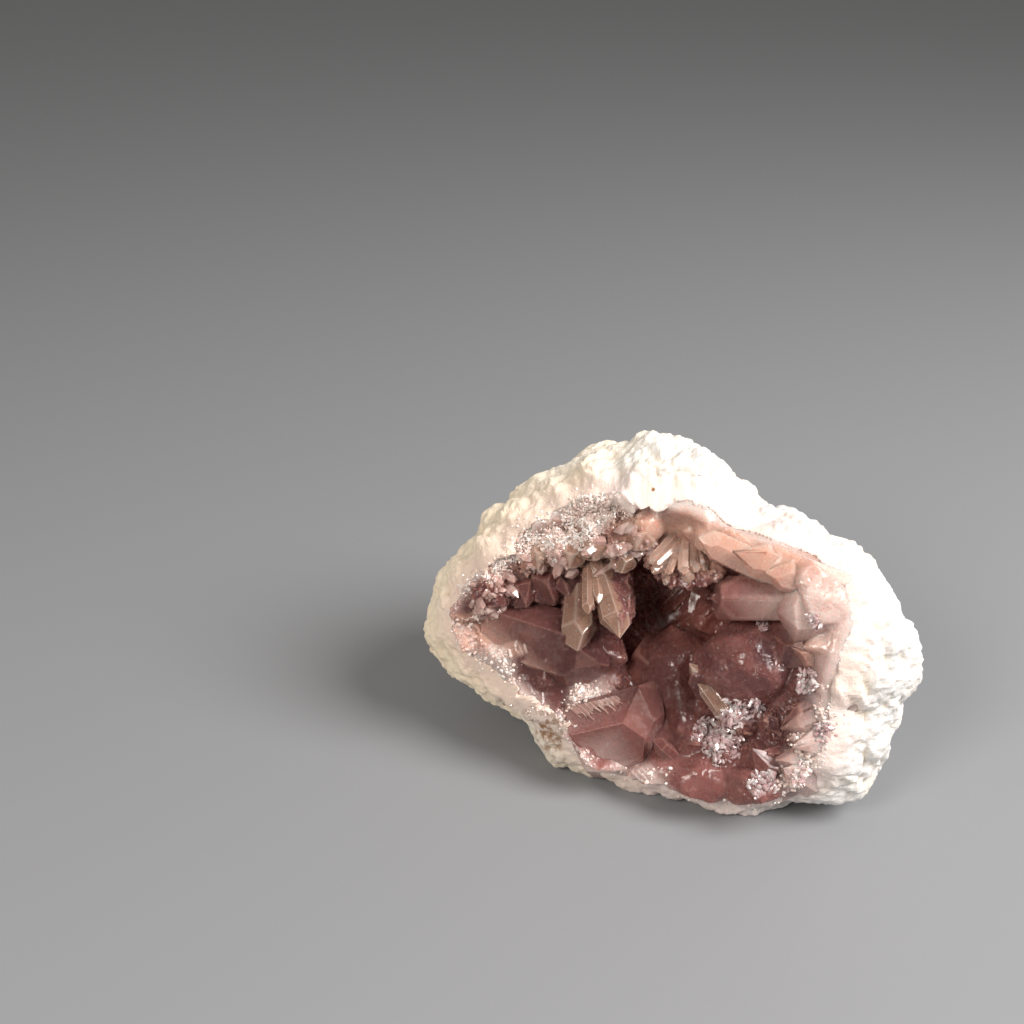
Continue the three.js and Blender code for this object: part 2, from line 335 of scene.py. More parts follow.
crust = copy_of("crystal_crust", "quartz_crust")
remesh(crust, CRUST_GRID)
thin_out(crust, [d < BURIED for d in distances_to(surface_tree(rind), crust)], 0.72)
print("rind:", count_triangles(rind), "triangles; crust:", count_triangles(crust))

# %% Soften the etched crystals
SOFT_CRYSTALS = [
    # middle in u and v, half width, half height
    (-21, -10, 13, 8),  # the big round one at the left
    (-11, -24, 8, 4.5),  # the front of the stub
    (-1, -14, 8, 13),  # the column at the back
    (12, -4.5, 10, 9),  # the big blunt one
    (13, 5, 9, 4.5),  # the block over it
    (21, 5, 7, 6),  # the pale mass at the right
    (12, 13, 11, 4),  # the layers under the upper rind
    (23, -2, 6, 4),  # the wedges under it
    (-1.5, 15, 7, 4),
    (11, -24, 14, 5),  # the masses along the lower edge
]


def softness(place):
    """1 on the soft crystals and 0 between them."""
    return max(1 - smoothstep(0.75, 1.1, oval(place, *crystal)) for crystal in SOFT_CRYSTALS)


soft = [softness(from_mouth(v.co)) for v in crust.data.vertices]
group = crust.vertex_groups.new(name="soft")
for index, amount in enumerate(soft):
    group.add([index], amount, "REPLACE")
smooth(crust, 24, "soft")
smooth(crust, 2)
crust.vertex_groups.clear()
print("soft corners of the crust:", sum(amount > 0.5 for amount in soft), "of", len(soft))

# %% [markdown]
# ## Shape of the rind
#
# The outside of such a nodule looks like cauliflower: knobs of 2 to 6 mm with creases between them,
# covered in finer grains. A Voronoi pattern gives just that, because the distance to the nearest seed
# is a round top that ends in a crease. It is pushed into the mesh in three sizes. At the mouth the rind
# leans in over the crystals with a ragged lip, as the crust grew out from under it.

# %% Push the rind
SEAM = 1.0  # each piece is pushed into the other where they are closer than this
KNOB_LEVEL = 0.6  # a knob's pattern pushes out above this and in below it
MIDDLE = (-4, -1)  # u and v of the middle of the hollow
rind_to_crust = distances_to(surface_tree(crust), rind)
rind_tree = surface_tree(rind)
crust_to_rind = distances_to(rind_tree, crust)


def knobs(point, height, size, shift=0.0):
    """Round tops that meet in creases, so many millimetres high and wide."""
    nearest = noise.voronoi(point / (size * MM) + Vector((shift, shift, shift)))[0][0]
    return height * (1 - nearest * nearest / 0.8 - KNOB_LEVEL)


def rind_push(point, distance):
    """Knobs in three sizes and grains on them, but none at the seam, where the rind closes the gap."""
    bent = point + noise.noise_vector(point / (5 * MM)) * 1.2 * MM
    amount = knobs(bent, 1.1, 5.5) + knobs(bent, 0.75, 2.4, 3.3)
    amount += knobs(bent, 0.5, 1.3, 7.7) + 0.25 * lump(point, 0.8)
    return amount * smoothstep(0.5, 4, distance) + max(0.0, SEAM - distance)


def lip(point, distance):
    """How the rind's edge leans in over the crust."""
    place = from_mouth(point)
    if distance > 3.5 or place.z < -4:
        return Vector()
    over = (1 - smoothstep(0.6, 3.5, distance)) * smoothstep(-4, -1, place.z)
    over *= 1 - 0.5 * smoothstep(14, 22, place.x)  # less of it at the right
    ragged = 0.7 + 0.9 * lump(point, 3.0, 2.2) + 0.5 * lump(point, 1.1, 8.8)
    inward = Vector((MIDDLE[0] - place.x, MIDDLE[1] - place.y, 0)).normalized() * 2.2 * ragged
    return TO_WORLD @ (inward + Vector((0, 0, 0.6 + 0.5 * ragged))) * over * MM


amounts = [rind_push(v.co, d) for v, d in zip(rind.data.vertices, rind_to_crust)]
push(rind, amounts)
for vertex, distance in zip(rind.data.vertices, rind_to_crust):
    vertex.co += lip(vertex.co, distance)
smooth(rind, 1)
print("rind pushed by", round(min(amounts), 2), "to", round(max(amounts), 2), "mm")

# %% [markdown]
# ## Where the rind is shaded, creamy, pink or brown
#
# The creases are darkened as painted shade, the left side is creamier as painted warm shade, and the
# quartz shines through pink where the rind is thin, darker at the lower edge as partly painted shade.
# All this could be painted in an image, but values worked out for the corners follow the knobs and need
# no unwrapping, and on so fine a mesh they are sharp enough.

# %% Measures on the rind
# Painted shade: the creases of the rind are darkened.
hollows = [1 - smoothstep(-0.35, 0.0, h) for h in relief(rind, 16)]
keep_values(rind, "crease", [h * smoothstep(2, 5, d) for h, d in zip(hollows, rind_to_crust)])


def blush(point, distance):
    """Where the quartz shines through: along the mouth, and all of the thin lower edge, where the darker
    pink is partly painted shade.
    """
    place = from_mouth(point)
    lower_edge = 1 - smoothstep(0.4, 1.0, oval(place, 5, -30, 18, 8))
    return max(1 - smoothstep(0.8, 7, distance), lower_edge * smoothstep(-14, -6, place.z))


keep_values(rind, "blush", [blush(v.co, d) for v, d in zip(rind.data.vertices, rind_to_crust)])


def left_shade(point):
    """Creamy towards the left, the side in shade, in clouds: painted warm shade."""
    return smoothstep(4, -30, point.x / MM + 14 * lump(point, 11, 4.4))


STAIN = at_mouth(-20.2, -22.5, -1.5)


def stained(point):
    """A brown patch with a ragged edge."""
    return 1 - smoothstep(2.0, 6.5, (point - STAIN).length / MM + 2.0 * lump(point, 2.5, 6.1))


keep_values(rind, "left_shade", [left_shade(v.co) for v in rind.data.vertices])
keep_values(rind, "stain", [stained(v.co) for v in rind.data.vertices])
keep_values(rind, "rim", [1 - smoothstep(0.8, 3, d) for d in rind_to_crust])
print("rind keeps:", kept_values(rind))

# %% [markdown]
# ## Shape of the crust
#
# The solids keep a thin gap between crust and rind. The real ones have none, so the crust's skin is
# pushed out into the rind wherever the rind is near. What shows of the crust gets the low swells of
# etched quartz, and between the soft crystals it gets steps: the faces of one crystal are parallel, so
# each patch of the surface is moved onto planes that are square to one of its crystal's directions.
# Where a sharp crystal will stand for a plain one, the crust sinks a little, so that it stays behind it.

# %% Crystal steps
STEP = 0.8  # height of a step, in millimetres
PATCH = 4.5  # size of one crystal's patch
POINT_SLOPE = math.radians(52)  # between a crystal's length and the way a face of its point looks
FACES = [
    Vector((math.cos(a) * s, math.sin(a) * s, c))
    for s, c in ((1.0, 0.0), (math.sin(POINT_SLOPE), math.cos(POINT_SLOPE)))
    for a in (math.radians(60 * k) for k in range(6))
]


def steps(point, normal):
    """How far a place is from its patch's nearest step, in millimetres."""
    seed = noise.voronoi(point / (PATCH * MM))[1][0]
    turn = noise.noise_vector(seed * 7.7) * 4
    turned = Quaternion((1.0, turn.x, turn.y, turn.z)).normalized()
    local = turned.inverted() @ normal
    face = turned @ max(FACES, key=lambda f: f.dot(local))
    height = point.dot(face) / MM
    return (math.floor(height / STEP) + 0.5) * STEP - height


# %% Push the crust
SUNK = [
    # middle in u and v, half width, half height, depth
    (-8.5, -20, 8, 6.5, 2.2),  # behind the stub
    (17.5, 4, 3.5, 4.5, 1.2),  # behind the pale mass
]


def sinking(place):
    """How far the crust sinks behind a sharp crystal."""
    if place.z < -4:
        return 0.0
    return max(depth * (1 - smoothstep(0.7, 1.1, oval(place, *where))) for *where, depth in SUNK)


def crust_push(point, normal, distance, softly):
    """Closes the gap at the rind, and shapes what is in sight with swells and steps."""
    sunk_by = sinking(from_mouth(point))
    shown = smoothstep(1.5, 3.0, distance)
    swell = 0.45 * lump(point, 5) + 0.15 * lump(point, 2.1, 5.5)
    closing = max(0.0, SEAM - distance)
    return closing + shown * (swell - sunk_by + (1 - 0.85 * softly) * 0.7 * steps(point, normal))


amounts = [
    crust_push(v.co, v.normal, d, s) for v, d, s in zip(crust.data.vertices, crust_to_rind, soft)
]
push(crust, amounts)
smooth(crust, 1)
print("crust pushed by", round(min(amounts), 2), "to", round(max(amounts), 2), "mm")

# %% [markdown]
# ## Zones of colour in the quartz
#
# The quartz is nearly white against the rind, peach at the upper right, darker pink in the big round
# crystal and the column, partly their own colour and partly painted shade, lighter pink at the stub and
# the block, and a lighter pink down in the pocket, which is painted light. Each zone is a rule on
# places, so the crust and the sharp crystals in it take one colour where they meet.

# %% Rules for the zones
def toward(angle, wide, place):
    """1 in one direction from the middle of the hollow, and 0 beyond a half width, in degrees."""
    turn = math.degrees(math.atan2(place.y - MIDDLE[1], place.x - MIDDLE[0])) - angle
    turn = abs((turn + 180) % 360 - 180)
    return 1 - smoothstep(0.6 * wide, wide, turn)


def near(place, u, v, radius, core=0.4):
    """1 round a spot in the mouth, and 0 from the radius on. The core is the share that is all 1."""
    return 1 - smoothstep(core, 1.0, math.dist(place[:2], (u, v)) / radius)


# u, v and radius of the pale places that lie further in; the one on the stub's top, at (-12.5, -16.0),
# is painted light where the top is lit
PALE_SPOTS = [
    (23, 7, 9), (28, -2, 7), (28, -9, 8), (27, -14, 8), (24, -20, 6), (-30, -13, 5),
    (-14, -27, 5), (-2, -27, 4), (-12.5, -16.0, 5.5), (-23, 9.5, 4.5), (-16, 15, 4),
]


def paleness(place, distance):
    """Nearly white against the rind, and on a few crystals further in; on the stub's top this is painted
    light.
    """
    near_rind = 1 - smoothstep(0.8, 3.6, distance)
    further_in = 0.85 * max(near(place, *spot) for spot in PALE_SPOTS)
    return max(near_rind, further_in) * smoothstep(-8, -2.5, place.z)


def peachiness(place, distance):
    """Peach in a band along the rind, most of all at the upper right."""
    band = 1 - smoothstep(4, 11, distance)
    upper_right = toward(60, 75, place)
    far_left = 0.8 * toward(195, 10, place)
    upper_left = 0.5 * toward(138, 40, place)
    return band * smoothstep(-13, -3, place.z) * max(upper_right, far_left, upper_left)


def dark_and_shaded(place):
    """Dark pink on the big round crystal and on the column at the back: partly their own colour, partly
    painted shade.
    """
    return max(near(place, -20, -8, 14), near(place, -2, -12, 9))


def rose(place):
    """Lighter pink on the stub, on the block and along the lower edge."""
    if place.z < -7:
        return 0.0
    lower_edge = max(near(place, 11, -25, 13), near(place, 2, -27, 8))
    return max(0.45 * lower_edge, near(place, -9, -21, 10), 0.6 * near(place, 11, 5.5, 9))


# %% Zones, edges and creases of the crust
def zone_values(piece, distances=None):
    """Keeps all the zones of a quartz piece. Distances are to the rind, in millimetres."""
    places = [from_mouth(v.co) for v in piece.data.vertices]
    distances = distances or distances_to(rind_tree, piece)
    keep_values(piece, "pale", [paleness(p, d) for p, d in zip(places, distances)])
    keep_values(piece, "peach", [peachiness(p, d) for p, d in zip(places, distances)])
    keep_values(piece, "deep", [smoothstep(4, 15, -p.z) for p in places])
    keep_values(piece, "dark_and_shaded", [dark_and_shaded(p) for p in places])
    keep_values(piece, "rose", [rose(p) for p in places])


zone_values(crust, crust_to_rind)
heights = relief(crust, 12)
# Ridges that stand out, lightened in the finish as a painted highlight.
keep_values(crust, "edge", [smoothstep(0.02, 0.22, h) for h in heights])
# The crust's creases, darkened in the finish as painted shade.
hollows = [1 - smoothstep(-0.25, 0.0, h) for h in heights]
keep_values(crust, "crease", [h * smoothstep(1, 4, d) for h, d in zip(hollows, crust_to_rind)])
print("crust keeps:", kept_values(crust))

# %% [markdown]
# ## Patterns that both stones share
#
# Clouds and grain show in the rind, in the milky crust and in the clear crystals, each time with other
# sizes. Each is built once as a node group with named inputs, and every material places it with its own
# values. They read Object coordinates, so they go through the stone and stay in place on it.

# %% Helpers for node groups
def new_group(name, inputs, output, kind):
    """A group of shader nodes with number inputs and one output."""
    tree = bpy.data.node_groups.new(name, "ShaderNodeTree")
    for label, value in inputs.items():
        socket = tree.interface.new_socket(name=label, in_out="INPUT", socket_type="NodeSocketFloat")
        socket.default_value = value
    tree.interface.new_socket(name=output, in_out="OUTPUT", socket_type=kind)
    return tree, tree.nodes.new("NodeGroupInput"), tree.nodes.new("NodeGroupOutput")


def add(tree, kind, **inputs):
    """A shader node in a material's or a group's tree, with its inputs set by name."""
    node = tree.nodes.new("ShaderNode" + kind)
    set_inputs(node, **inputs)
    return node


def wire(tree, *links):
    """Each link is a node and its output, and a node and its input."""
    for source, output, target, socket in links:
        tree.links.new(source.outputs[output], target.inputs[socket])


# %% Clouds: a mask that is 0 below Low and 1 above High, in a noise of so many waves a metre
clouds, start, end = new_group(
    "clouds",
    {"Scale": 300.0, "Detail": 4.0, "Bend": 0.0, "Low": 0.4, "High": 0.6},
    "Mask", "NodeSocketFloat",
)
place = add(clouds, "TexCoord")
cloud = add(clouds, "TexNoise", Roughness=0.6)
fade = add(clouds, "MapRange")
fade.interpolation_type = "SMOOTHSTEP"
wire(
    clouds,
    (place, "Object", cloud, "Vector"),
    (start, "Scale", cloud, "Scale"),
    (start, "Detail", cloud, "Detail"),
    (start, "Bend", cloud, "Distortion"),
    (start, "Low", fade, "From Min"),
    (start, "High", fade, "From Max"),
    (cloud, "Fac", fade, "Value"),
    (fade, "Result", end, "Mask"),
)
print("clouds:", len(clouds.nodes), "nodes")

# %% Grain: a bumpy normal from two noises, and from ridges across a crystal's length
grain, start, end = new_group(
    "grain",
    {
        "Coarse": 600.0, "Fine": 2400.0, "Fine share": 0.4, "Strength": 0.5, "Height": 0.0002,
        "Ridges": 0.0,
    },
    "Normal", "NodeSocketVector",
)
place = add(grain, "TexCoord")
coarse = add(grain, "TexNoise", Detail=3.0)
fine = add(grain, "TexNoise", Detail=3.0)
both = add(grain, "Mix")
bumps = add(grain, "Bump")
growth = add(grain, "Attribute")
growth.attribute_name = "growth"  # how far along its crystal a corner lies
ridge = add(grain, "TexNoise", Scale=1.6, Detail=3.0, Roughness=0.7)
ridge.noise_dimensions = "1D"
ridge_bumps = add(grain, "Bump", Distance=0.0003)
wire(
    grain,
    (place, "Object", coarse, "Vector"),
    (place, "Object", fine, "Vector"),
    (start, "Coarse", coarse, "Scale"),
    (start, "Fine", fine, "Scale"),
    (start, "Fine share", both, "Factor"),
    (coarse, "Fac", both, "A"),
    (fine, "Fac", both, "B"),
    (both, "Result", bumps, "Height"),
    (start, "Strength", bumps, "Strength"),
    (start, "Height", bumps, "Distance"),
    (growth, "Fac", ridge, "W"),
    (ridge, "Fac", ridge_bumps, "Height"),
    (start, "Ridges", ridge_bumps, "Strength"),
    (bumps, "Normal", ridge_bumps, "Normal"),
    (ridge_bumps, "Normal", end, "Normal"),
)
print("grain:", len(grain.nodes), "nodes")


# %% A material in layers
class Finish:
    """A material that is built up layer by layer, as paint is."""

    def __init__(self, name, colour):
        self.material, self.shader = new_material(name)
        self.tree = self.material.node_tree
        self.link = self.tree.links.new
        self.colour = colour

    def group(self, tree, **inputs):
        node = add(self.tree, "Group")
        node.node_tree = tree
        set_inputs(node, **inputs)
        return node

    def clouds(self, **inputs):
        return self.group(clouds, **inputs).outputs["Mask"]

    def attribute(self, name):
        node = add(self.tree, "Attribute")
        node.attribute_name = name
        return node.outputs["Fac"]

    def product(self, mask, share):
        """A mask made weaker by a plain share, or by another mask."""
        node = add(self.tree, "Math")
        node.operation = "MULTIPLY"
        self.link(mask, node.inputs[0])
        if isinstance(share, float):
            node.inputs[1].default_value = share
        else:
            self.link(share, node.inputs[1])
        return node.outputs["Value"]

    def layer(self, mask, colour):
        """Lays a colour over what is there, as strongly as the mask says."""
        node = add(self.tree, "Mix")
        node.data_type = "RGBA"
        if isinstance(self.colour, tuple):
            node.inputs["A"].default_value = (*self.colour, 1)
        else:
            self.link(self.colour, node.inputs["A"])
        node.inputs["B"].default_value = (*colour, 1)
        self.link(mask, node.inputs["Factor"])
        self.colour = node.outputs["Result"]

    def cloud_layer(self, share, colour, **pattern):
            self.layer(self.product(self.clouds(**pattern), share), colour)

    def zone_layer(self, name, share, colour):
        """Lays a colour over a zone that the piece keeps."""
        self.layer(self.product(self.attribute(name), share), colour)

    def rough(self, mask, low, high):
        """Lets the roughness wander from low to high."""
        node = add(self.tree, "MapRange", To_Min=low, To_Max=high)
        self.link(mask, node.inputs["Value"])
        self.link(node.outputs["Result"], self.shader.inputs["Roughness"])

    def done(self, **grain_values):
        """Wires colour and grain to the shader."""
        self.link(self.colour, self.shader.inputs["Base Color"])
        normal = self.group(grain, **grain_values).outputs["Normal"]
        self.link(normal, self.shader.inputs["Normal"])
        print("finish:", self.material.name)
        return self.material


# %% [markdown]
# ## Finish of the rind
#
# Chalky white, with cream in broad clouds and more cream at the left as painted warm shade, painted
# shade in the creases, a pink blush where the quartz shines through near the mouth, darker at the lower
# edge as partly painted shade, and a few tiny rust-brown specks. At the lower left it has lain in the
# ground, so a patch is stained brown there. Some light is scattered under the surface, or the creases
# would turn grey.

# %% Chalky rind
WHITE = (0.585, 0.57, 0.555)
CREAM = (0.70, 0.585, 0.43)
CREASE_SHADE = (0.50, 0.41, 0.29)
BLUSH = (0.64, 0.47, 0.43)
RUST = (0.22, 0.11, 0.05)

chalk = Finish("chalky rind", WHITE)
chalk.cloud_layer(0.4, CREAM, Scale=70.0, Detail=3.0, Low=0.48, High=0.66)
# painted warm shade: creamier towards the left, the side away from the key lamp
chalk.zone_layer("left_shade", 0.8, CREAM)
# pink where the quartz shows through; darker at the lower edge, partly as painted shade
chalk.zone_layer("blush", 0.55, BLUSH)
# painted shade in the creases, in a brownish colour
chalk.zone_layer("crease", 0.55, CREASE_SHADE)
chalk.layer(chalk.clouds(Scale=420.0, Detail=2.0, Low=0.735, High=0.77), RUST)
stain_clouds = chalk.clouds(Scale=650.0, Low=0.42, High=0.62)
chalk.layer(chalk.product(chalk.attribute("stain"), stain_clouds), RUST)
chalk.rough(chalk.clouds(Scale=900.0), 0.65, 0.95)
set_inputs(
    chalk.shader,
    Subsurface_Weight=0.25, Subsurface_Radius=(1.0, 0.8, 0.65), Subsurface_Scale=0.0012,
)
rind.data.materials.append(chalk.done(Coarse=700.0, Fine=2600.0, Strength=0.7, Height=0.00025))
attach(rind, "root")
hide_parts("rind")

# %% [markdown]
# ## Finish of the quartz
#
# The crystals are milky: light goes in, is scattered and comes out pink. So about half of the light
# passes as through glass, and most of the rest is scattered under the surface. An absorbing volume
# deepens the colour with thickness. The zones give each place its pink, partly as painted light and
# shade, and thin clouds over them stand for the veils inside the quartz. A paler colour at glancing
# angles is a painted sheen. Plain glass would be too clear, and plain paint too dull.

# %% Milky quartz
QUARTZ_IOR = 1.54
PINK = (0.21, 0.080, 0.073)
MAUVE = (0.13, 0.050, 0.052)
VEIL = (0.52, 0.25, 0.225)
PEACH = (0.86, 0.54, 0.42)
MILK = (0.98, 0.80, 0.75)
UMBRA = (0.20, 0.075, 0.065)
POCKET_LIGHT = (0.38, 0.13, 0.105)
DARK_AND_SHADE = (0.085, 0.028, 0.026)
ROSE = (0.46, 0.19, 0.165)


def absorb(finish, colour, density):
    """Takes colour off the light along its way through a clear material."""
    node = add(finish.tree, "VolumeAbsorption", Color=(*colour, 1), Density=density)
    wire(finish.tree, (node, "Volume", finish.tree.nodes["Material Output"], "Volume"))


def milky_quartz(name, ridges, depth, glass):
    """Depth is how far light wanders inside, in metres, and glass the share that passes."""
    milky = Finish(name, PINK)
    milky.layer(milky.clouds(Scale=160.0, Detail=3.0, Bend=0.6, Low=0.42, High=0.66), MAUVE)
    milky.cloud_layer(0.35, VEIL, Scale=140.0, Detail=5.0, Bend=1.5, Low=0.50, High=0.70)
    milky.cloud_layer(0.3, VEIL, Scale=330.0, Detail=8.0, Bend=3.0, Low=0.56, High=0.64)
    # painted light: a lighter pink deep in the pocket
    milky.zone_layer("deep", 0.6, POCKET_LIGHT)
    # darker on the big round crystal and the column: partly their own colour, partly painted shade
    milky.zone_layer("dark_and_shaded", 0.5, DARK_AND_SHADE)
    milky.zone_layer("rose", 0.55, ROSE)
    milky.zone_layer("peach", 0.85, PEACH)
    milky.zone_layer("pale", 0.9, MILK)
    # painted shade in the creases
    milky.zone_layer("crease", 0.5, UMBRA)
    # painted highlight: lighter along the ridges and edges
    milky.zone_layer("edge", 0.3, PEACH)
    milky.cloud_layer(0.25, MILK, Scale=600.0, Detail=3.0, Bend=1.5, Low=0.64, High=0.70)
    # painted sheen: paler at glancing angles
    painted_sheen = add(milky.tree, "LayerWeight", Blend=0.35)
    milky.layer(milky.product(painted_sheen.outputs["Facing"], 0.4), VEIL)
    milky.rough(milky.clouds(Scale=700.0, Bend=0.5), 0.10, 0.32)
    set_inputs(
        milky.shader,
        IOR=QUARTZ_IOR, Specular_IOR_Level=0.14, Transmission_Weight=glass,
        Subsurface_Weight=0.8, Subsurface_Radius=(1.0, 0.65, 0.6), Subsurface_Scale=depth,
    )
    absorb(milky, (0.88, 0.60, 0.56), 50.0)
    return milky.done(Coarse=350.0, Fine=1500.0, Strength=0.35, Height=0.0002, Ridges=ridges)


smooth_milky = milky_quartz("milky pink quartz", 0.0, 0.0016, 0.45)
ridged_milky = milky_quartz("ridged pink quartz", 0.12, 0.0012, 0.5)
pale_milky = milky_quartz("pale pink quartz", 0.0, 0.0015, 0.4)
crust.data.materials.append(smooth_milky)
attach(crust, "root")
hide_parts("crystal_crust")

# %% [markdown]
# ## Sharp crystals
#
# Remeshing rounds every edge, which suits the etched masses but not the crystals that have kept their
# faces. Those are made again as they grow: a six-sided column whose point is cut by six planes, its
# edges bevelled a little so that they catch the light. They stand over their plainer forms in the crust.
# Quartz has fine ridges round its column, so each corner remembers how far along its crystal it lies.
# It also keeps whether it is on an edge, where a lighter colour is painted as a highlight.

# %% Column and point
UNEVEN = 0.2  # share of the radius by which the faces of a point differ


def cut_off(bm, place, normal):
    """Cuts a closed mesh off at a plane, and closes it again."""
    bmesh.ops.bisect_plane(
        bm, geom=bm.verts[:] + bm.edges[:] + bm.faces[:], plane_co=place, plane_no=normal,
        clear_outer=True, dist=SAME_PLACE,
    )
    bmesh.ops.holes_fill(bm, edges=[e for e in bm.edges if e.is_boundary], sides=0)


def column_with_point(radius, taper, length, slope, rng):
    """A column along z with a point at its upper end."""
    bm = bmesh.new()
    bmesh.ops.create_cone(
        bm, cap_ends=True, segments=6, radius1=radius * taper, radius2=radius, depth=length,
        matrix=Matrix.Translation((0, 0, length / 2)),
    )
    for face in range(6):
        turn = math.radians(60 * face)
        lean = math.radians(slope + rng.uniform(-4, 4))
        side = Vector((math.cos(turn) * math.sin(lean), math.sin(turn) * math.sin(lean), math.cos(lean)))
        spare = radius * (rng.uniform(0, 2 * UNEVEN) if face % 2 else 0)
        cut_off(bm, Vector((0, 0, length)) + side * spare * math.sin(lean), side)
    bmesh.ops.dissolve_degenerate(bm, dist=10 * SAME_PLACE, edges=bm.edges)
    return bm


# %% Edges
def round_edges(bm, radius, edge):
    """Bevels the edges, and keeps a painted highlight for each corner: 0 on the faces."""
    most = 0.3 if edge > 1 else 0.12  # no edge is wider than this share of the radius
    bmesh.ops.bevel(
        bm, geom=bm.edges[:], offset=min(radius * most, edge * MM), offset_type="OFFSET", segments=2,
        profile=0.5, affect="EDGES", material=-1, clamp_overlap=True,
    )
    light = bm.verts.layers.float["edge"]
    for vertex in bm.verts:
        vertex[light] = min(1.0, 2.0 * MM / radius)  # fainter on a thick crystal
    wide_faces = [f for f in bm.faces if f.calc_area() > (0.5 * radius) ** 2]
    bmesh.ops.inset_individual(bm, faces=wide_faces, thickness=min(radius * 0.12, 0.3 * MM), depth=0)
    for face in wide_faces:
        for vertex in face.verts:
            vertex[light] = 0.0


# %% One sharp crystal
def stand(start, way, flat, roll):
    """Stands a column along a way, rolled about it, and flattened from front to back."""
    along = way.normalized()
    front = (OUT - along * OUT.dot(along)).normalized()
    upright = Matrix((front.cross(along), front, along)).transposed().to_4x4()
    rolled = Matrix.Diagonal((1, flat, 1, 1)) @ Matrix.Rotation(math.radians(roll), 4, "Z")
    return Matrix.Translation(start) @ upright @ rolled


def quartz_point(
    target, foot, tip, radius, flat=1.0, slope=52, roll=0, taper=1.0, cuts=(), edge=0.2,
):
    """Adds a crystal to a bmesh. All is in millimetres, and places are in the mouth."""
    rng = random.Random(f"{foot} {tip}")
    start = at_mouth(*foot)
    way = at_mouth(*tip) - start
    radius = radius * MM
    one = column_with_point(radius, taper, way.length, slope, rng)
    for layer in ("growth", "edge"):
        if not target.verts.layers.float.get(layer):
            target.verts.layers.float.new(layer)
    one.verts.layers.float.new("edge")
    height = one.verts.layers.float.new("growth")
    for vertex in one.verts:
        vertex[height] = vertex.co.z / MM
    bmesh.ops.transform(one, matrix=stand(start, way, flat, roll), verts=one.verts)
    for place, normal in cuts:
        cut_off(one, at_mouth(*place), TO_WORLD @ Vector(normal))
    round_edges(one, radius, edge)
    bmesh.ops.recalc_face_normals(one, faces=one.faces)
    mesh = bpy.data.meshes.new("one")
    one.to_mesh(mesh)
    one.free()
    target.from_mesh(mesh)
    bpy.data.meshes.remove(mesh)


def finish_piece(bm, name, finish):
    """Makes a bmesh a piece of the stone."""
    piece = to_object(bm, name)
    piece.data.materials.append(finish)
    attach(piece, "root")
    print(name + ":", count_triangles(piece), "triangles")
    return piece


# %% [markdown]
# ## The milky crystals that have kept their faces
#
# The big crystal at the left and the dark column have wide, etched edges, and the others fine ones. The
# stub at the lower left and the block under the roof are broken and have grown against others, so they
# are no clean columns. Each starts as one, and is cut by planes until it has its own faces.

# %% Sharp milky crystals
THICK = 5  # millimetres of radius, from which a crystal's edges are etched wide
FINE_EDGE = 0.3
ETCHED_EDGE = 1.8
BROKEN_EDGE = 0.7

MILKY_CRYSTALS = [
    # foot, tip, radius, flat, slope, roll
    ((13, 1, -9), (22.4, -2.4, -2.2), 3.8, 0.7, 56, 0),  # the shoulder of the big blunt one
    ((-37, 2, -10), (-31.5, -3, -2.6), 3.2, 1.0, 52, 0),  # dark ridged crystals at the left
    ((-34, 4.5, -11), (-28.6, -1.4, -3), 2.8, 0.8, 52, 20),
    ((-32, 5, -11), (-26.2, -2.4, -3.2), 3.4, 0.9, 52, 0),
    ((-28, 6.5, -12), (-21.5, -1, -4.2), 4.0, 1.0, 52, 10),
    ((-24, 7, -12), (-18.6, 0, -4.4), 3.2, 0.9, 52, 50),
    ((29, -7, -4), (18.6, -13.8, -0.8), 2.5, 0.5, 62, 30),  # petals at the lower right
    ((29, -13, -4), (21.0, -16.0, 0.2), 2.4, 0.5, 60, 0),
    ((26, -17.2, -4), (18.8, -18.6, 0.2), 1.7, 0.5, 64, 30),
    ((21, -25, -6), (15.0, -17.6, -0.2), 3.4, 0.6, 54, 30),
    ((25, -23, -5), (20.4, -19.4, 0.6), 2.4, 0.6, 54, 0),
    ((2, -26, -12), (-6.8, -4.5, -13.2), 5.6, 0.8, 46, 0),  # a darker column beside the broad one
    ((-33, -8.0, -7.5), (-10.8, -9.8, -4.2), 6.8, 0.8, 40, 24),  # the big one at the left
    ((3.5, -24, -5), (-1.0, -19.4, 0.0), 1.4, 0.8, 56, 0),
]
STUB_TOP = ((-12.5, -17.8, -0.4), (-0.22, 0.48, 0.85))  # a place on it, and the way it faces
STUB_CUTS = (
    STUB_TOP,
    ((-12.5, -20.4, 1.0), (0.15, -0.35, 0.92)),  # its front
    ((-11.5, -14.6, -1.5), (-0.42, 0.88, -0.10)),  # its upper end
    ((-3.6, -14.4, -1.0), (0.80, 0.50, 0.30)),  # its right side
    ((-2.2, -18.0, 0.0), (0.96, -0.15, 0.20)),
    ((-6.0, -25.0, 1.0), (0.15, -0.85, 0.50)),  # its underside
    ((-16.4, -20.0, 0.0), (-0.86, -0.50, 0.10)),  # its left side
    ((-5.4, -16.8, 0.4), (0.50, 0.30, 0.80)),  # broken corners
    ((-14.2, -22.6, 0.2), (-0.45, -0.50, 0.74)),
    ((-7.0, -22.4, 0.9), (0.35, -0.55, 0.75)),
)
BLOCK_CUTS = (
    ((6.0, 4.6, -2.0), (-0.93, -0.10, 0.36)),  # its left end
    ((6.0, 7.6, -2.0), (-0.45, 0.85, 0.25)),
    ((16.0, 8.2, -2.0), (0.30, 0.90, 0.25)),  # its upper side
    ((8.5, 2.2, -1.6), (-0.35, -0.75, 0.55)),  # its underside
    ((10.0, 7.0, -0.6), (0.10, 0.50, 0.86)),  # its front
)

